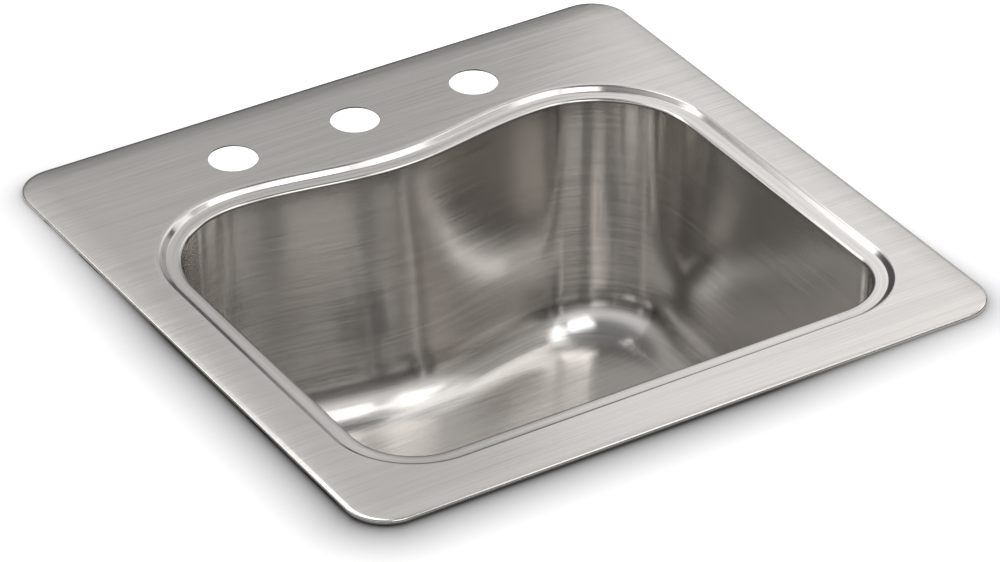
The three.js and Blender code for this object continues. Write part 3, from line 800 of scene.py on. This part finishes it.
brass = worn_metal("brass", (0.46, 0.33, 0.13), (0.68, 0.52, 0.24), 0.24, 0.42, scale=120.0)
nut_outer, lug_out, lugs, nut_sides = 50 * mm, 6 * mm, 8, 288
low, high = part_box("locknut")
radius, height = ring_profile(round_cup, nut_outer, low[2], high[2], 0.8 * mm)
turn = np.arange(nut_sides) / nut_sides * lugs % 1
lug = np.interp(turn, [0.65, 0.67, 0.93, 0.95], [0, 1, 1, 0])
radius = radius + lug_out * lug * (radius - round_cup) / (nut_outer - round_cup)
fit(turned_piece("lugged_locknut", radius, height, nut_sides), "sink", "locknut", brass)

low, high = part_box("coupling_nut")
coupling_outer, coupling_inner, coupling_sides = 27.6 * mm, 23.9 * mm, 200
shoulder_top = low[2] + 2 * mm
flutes, flute_depth, flute_foot_r = 20, 0.9 * mm, 25 * mm
radius, height = profile_of([
    (round_tube, low[2]), (coupling_outer, low[2]), (coupling_outer, high[2]), (coupling_inner, high[2]),
    (coupling_inner, shoulder_top), (round_tube, shoulder_top)], 0.7 * mm, 1.5 * mm)
turn = np.arange(coupling_sides) / coupling_sides * flutes
reach = np.clip((radius - flute_foot_r) / (coupling_outer - flute_foot_r), 0, 1)
radius = radius - flute_depth * reach * (0.5 - 0.5 * np.cos(2 * np.pi * turn)) ** 2
coupling_nut = turned_piece("fluted_coupling_nut", radius, height, coupling_sides)
fit(coupling_nut, "sink", "coupling_nut", brass)

# ---------------------------------------------------------------- tailpiece
# A straight tube of polished steel, flanged at its top to sit under the nylon washer. The coupling
# nut clamps its flange to the strainer's outlet.

tube_inner, tube_r, tube_flange_r = 17.7 * mm, 19.1 * mm, 22.8 * mm
low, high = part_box("tailpiece")
bottom, top = low[2], high[2]
flange_under = top - 1.5 * mm
radius, height = profile_of([
    (tube_inner, bottom), (tube_r, bottom), (tube_r, flange_under), (tube_flange_r, flange_under),
    (tube_flange_r, top), (tube_inner, top)], 0.5 * mm)
fit(turned_piece("tailpiece_tube", radius, height, 72), "sink", "tailpiece", polished)

# ---------------------------------------------------------------- basket
# The part that lifts out: a thin pressed cup with rings of holes that catches scraps, a rubber
# stopper under it that closes the outlet, and a post with a fluted knob to lift it by.

basket_wall = 1 * mm
post_hole_r, basket_r, basket_rim_r = 1.5 * mm, 35.5 * mm, 39.2 * mm
basket_floor, basket_rim = -243.2 * mm, -211.2 * mm
basket_sides = 144
scrap_hole_r = 2.2 * mm


def evenly_round(count):
    """The turns of so many holes in a ring, starting half a step round."""
    return 2 * np.pi * (np.arange(count) + 0.5) / count


basket_bend = bent([(post_hole_r, basket_floor), (basket_r, basket_floor),
                    (basket_r, basket_rim), (basket_rim_r, basket_rim)], np.array([3, 1]) * mm)
basket_line = divided(basket_bend, 1 * mm)
basket_rows = polar(basket_line[:, :1], basket_line[:, 1:], basket_sides)
basket_points = basket_rows.reshape(-1, 3)
basket_cells = grid_cells(*basket_rows.shape[:2])
basket_triangles = []
on_floor = basket_points[:, 2] < basket_floor + 0.01 * mm
for count, ring_r in ((8, 14 * mm), (12, 21 * mm), (18, 28.5 * mm)):
    for turn in evenly_round(count):
        hole_centre = (ring_r * np.cos(turn), ring_r * np.sin(turn))
        basket_cells, triangles = punch(basket_points[:, :2], basket_cells, on_floor,
                                        hole_centre, scrap_hole_r)
        basket_triangles.append(triangles)
on_wall = np.abs(np.hypot(basket_points[:, 0], basket_points[:, 1]) - basket_r) < 0.01 * mm
unrolled = np.stack([np.arctan2(basket_points[:, 1], basket_points[:, 0]) % (2 * np.pi) * basket_r,
                     basket_points[:, 2]], axis=1)
for hole_z in (-235 * mm, -227.5 * mm, -220 * mm):
    for turn in evenly_round(20):
        hole_centre = (turn * basket_r, hole_z)
        basket_cells, triangles = punch(unrolled, basket_cells, on_wall, hole_centre, scrap_hole_r)
        basket_triangles.append(triangles)
wall_turn = unrolled[on_wall, 0] / basket_r
basket_points[on_wall] = np.stack([basket_r * np.cos(wall_turn), basket_r * np.sin(wall_turn),
                                   unrolled[on_wall, 1]], axis=1)
basket_points, basket_faces, _ = drop_unused(basket_points, [basket_cells, *basket_triangles])
basket = sheet_piece("pierced_basket", basket_points + drain_centre, basket_faces, basket_wall)
fit(basket, "basket", "basket_cup", polished)

low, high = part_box("basket_stopper")
bottom, top = low[2], high[2]
stopper_r = 27 * mm
radius, height = profile_of([
    (23 * mm, bottom), (24 * mm, bottom), (stopper_r, bottom + 1.5 * mm), (stopper_r, top - 1 * mm),
    (26 * mm, top), (25 * mm, top)], 0.4 * mm, 0.5 * mm, closed=False)
stopper = turned_piece("stopper_disc", radius, height, 96, looped=False)
fit(stopper, "basket", "basket_stopper", black_rubber)

low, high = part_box("basket_post")
foot, top = low[2], high[2]
post_foot_r, post_r, knob_neck_r, knob_r = 7 * mm, 3 * mm, 6.5 * mm, 8 * mm
radius, height = profile_of([
    (6 * mm, foot), (post_foot_r, foot), (post_foot_r, foot + 1.5 * mm), (post_r, foot + 2.5 * mm),
    (post_r, top - 9 * mm), (knob_neck_r, top - 6.5 * mm), (knob_r, top - 3 * mm),
    (knob_neck_r, top - 0.6 * mm), (4 * mm, top), (3 * mm, top)], 0.45 * mm, 0.6 * mm, closed=False)
post_sides, knob_flutes, knob_flute_depth, knob_flute_foot = 96, 24, 0.5 * mm, 6 * mm
turn = np.arange(post_sides) / post_sides * knob_flutes
grip = np.clip((radius - knob_flute_foot) / (knob_r - knob_flute_foot), 0, 1) * (height > (foot + top) / 2)
radius = radius - knob_flute_depth * grip * (0.5 - 0.5 * np.cos(2 * np.pi * turn))
post = turned_piece("knobbed_post", radius, height, post_sides, looped=False)
fit(post, "basket", "basket_post", polished)

# ---------------------------------------------------------------- studio
# A white card under the rim, cut out for the bowl as a worktop is, and broad soft lights over it.
# The rim's shadow is painted on the card, darkest to the left and the front.
# The camera looks down on the front left corner through a long lens.

camera_data = bpy.data.cameras.new("camera")
camera = bpy.data.objects.new("camera", camera_data)
bpy.context.scene.collection.objects.link(camera)
bpy.context.scene.camera = camera
camera_turn, camera_height, camera_roll = np.radians([-31.81, 32.68, -0.19])
back = np.array([np.sin(camera_turn) * np.cos(camera_height),
                 -np.cos(camera_turn) * np.cos(camera_height), np.sin(camera_height)])
target = np.array([-25.74, -45.82, 4]) * mm
camera_distance = 3.52197
camera.location = target + back * camera_distance
camera.rotation_mode = "XYZ"
camera.rotation_euler = (np.pi / 2 - camera_height, 0, camera_turn)
camera.rotation_euler.rotate_axis("Z", camera_roll)
camera_data.sensor_width = 36
camera_data.lens = 183.146

bpy.context.scene.view_settings.view_transform = "Standard"

world = bpy.data.worlds.new("studio")
bpy.context.scene.world = world
world.use_nodes = True
world_tree = world.node_tree
sky = world_tree.nodes["Background"]
sky.inputs[0].default_value = (1, 1, 1, 1)
direction = node_of(world_tree, "ShaderNodeTexCoord").outputs["Generated"]
upwards = node_of(world_tree, "ShaderNodeSeparateXYZ", {0: direction}).outputs[2]


def world_step(start, end, low, high):
    """The world's brightness passing smoothly from low to high between two heights."""
    return node_of(world_tree, "ShaderNodeMapRange", {"Value": upwards, 1: start, 2: end, 3: low, 4: high},
                   interpolation_type="SMOOTHSTEP").outputs[0]


ground = world_step(-0.3, 0.1, 0.3, 0.1)
band_start = world_step(0.40, 0.58, 0.0, 0.78)
band_end = world_step(0.72, 0.88, 1.0, 0.2)
glow = math_node(world_tree, "MULTIPLY_ADD", band_start, band_end, ground)
seen = node_of(world_tree, "ShaderNodeLightPath").outputs["Is Camera Ray"]
backdrop = math_node(world_tree, "MULTIPLY", seen, 1.3)
world_tree.links.new(math_node(world_tree, "MAXIMUM", glow, backdrop), sky.inputs[1])


def softbox(name, place, size, power):
    """A rectangular area light that faces the middle of the bowl's mouth."""
    light = bpy.data.lights.new(name, "AREA")
    light.shape = "RECTANGLE"
    light.size, light.size_y = size
    light.energy = power
    lamp = bpy.data.objects.new(name, light)
    bpy.context.scene.collection.objects.link(lamp)
    lamp.location = place
    lamp.rotation_euler = (-Vector(place)).to_track_quat("-Z", "Y").to_euler()


softbox("front", (0.0, -0.75, 1.3), (0.6, 0.6), 2.8)
softbox("back", (0.0, 0.75, 1.3), (0.6, 0.6), 2.5)
softbox("back left", (-0.92, 0.92, 0.75), (0.6, 0.6), 2.3)
softbox("high right", (0.75, 0, 1.3), (0.6, 0.6), 1.3)
softbox("front right", (0.6, -0.6, 1.2), (0.6, 0.6), 1.8)
softbox("right", (1.3, 0, 0.75), (0.5, 0.5), 0.9)
softbox("near right", (1.15, 0.8, 0.62), (1.0, 1.1), 1.7)

card_half, card_corner = 485 * mm, 40 * mm
opening_half, opening_corner = 246 * mm, 25 * mm
card_shift = np.array([-65, -135]) * mm
card_thick = 3 * mm
top_rows = 70


def card_points():
    """The card's skin: up the opening's edge, out over the top, down, and back underneath.

    Rows lie between the opening and the outer edge, closer together near the rim, where its shadow is
    painted. The outer edge is shifted towards the camera, so that the card hides what hangs below it.
    """
    shares = np.concatenate([[0, 0], np.linspace(0.1, 1, top_rows) ** 2, [1, 0]])
    halves = opening_half + (card_half - opening_half) * shares
    corners = opening_corner + (card_corner - opening_corner) * shares
    heights = np.concatenate([[-card_thick], np.zeros(top_rows + 1), [-card_thick, -card_thick]])
    points = ring(outline(halves, -halves, halves, 0, corners, corners), heights)
    points[:, :, :2] += card_shift * shares[:, None, None]
    return points


card_rows = card_points()
card = surface("card", card_rows.reshape(-1, 3), [grid_cells(*card_rows.shape[:2])])
card_material, card_tree, card_shader = blank_material("white card")
card_shader.inputs["Roughness"].default_value = 0.9
card_shader.inputs["Specular IOR Level"].default_value = 0.1
# Painted shadow: a point attribute darkens the card's colour and its glow alike. The card glows a little so
# that it stays white away from the painted shadow.
painted_shade = node_of(card_tree, "ShaderNodeAttribute", attribute_name="painted_shade").outputs["Fac"]
painted_shadow_tone = remap(card_tree, painted_shade, 0.92, 0.0)
card_tree.links.new(painted_shadow_tone, card_shader.inputs["Base Color"])
card_tree.links.new(painted_shadow_tone, card_shader.inputs["Emission Color"])
card_shader.inputs["Emission Strength"].default_value = 0.6
card.data.materials.append(card_material)


def painted_rim_shadow(points):
    """How dark the rim's shadow is painted on the card, from 0 to 1.

    A broad painted shadow and a narrow one die away as exponentials of the distance from the rim. Both
    are strongest on the sides that face away from the light, to the left and the front.
    """
    broad_reach, narrow_reach = 38 * mm, 5 * mm
    reach = np.maximum(np.abs(points[:, :2]) - (rim_half - rim_corner), 0)
    distance = np.maximum(np.linalg.norm(reach, axis=1) - rim_corner, 0)
    facing = points[:, :2] / np.linalg.norm(points[:, :2], axis=1)[:, None] @ np.array([-0.64, -0.77])
    side = np.clip(0.55 + 0.75 * facing, 0, 1)
    broad = 0.72 * np.exp(-(distance / broad_reach) ** 1.2)
    return side * (broad + 0.26 * np.exp(-distance / narrow_reach))


# Painted shadow: each point of the card gets how dark the rim's shadow is painted there.
painted_shade_layer = card.data.attributes.new("painted_shade", "FLOAT", "POINT")
painted_shade_layer.data.foreach_set("value", painted_rim_shadow(card_rows.reshape(-1, 3)))
